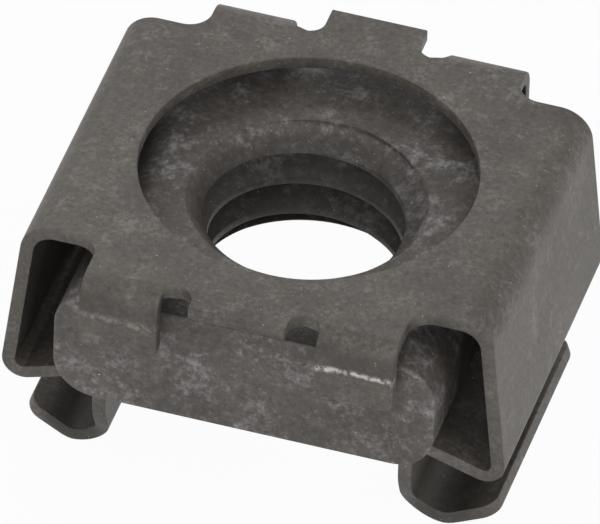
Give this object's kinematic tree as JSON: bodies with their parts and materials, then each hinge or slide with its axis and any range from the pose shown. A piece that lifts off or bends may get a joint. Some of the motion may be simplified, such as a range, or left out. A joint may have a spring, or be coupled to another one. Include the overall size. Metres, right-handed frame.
{
  "type": "rack cage nut",
  "caption": "Rectangular threaded nut held loose in a folded spring-steel cage whose two sprung wings clip into a square hole.",
  "frame": {"origin": "middle of the footprint, on the plane of the lips' lowest lines", "axes": "+X across the two walls, +Y along their bends, +Z from the lips up to the plate"},
  "size_m": [0.0132, 0.0122, 0.0074],
  "materials": {
    "spring_steel": "black phosphate, matt, with lighter worn edges",
    "nut_steel": "grey phosphate, matt and mottled"
  },
  "bodies": {
    "root": {"cage": "spring_steel", "nut": "nut_steel"}
  },
  "joints": []
}
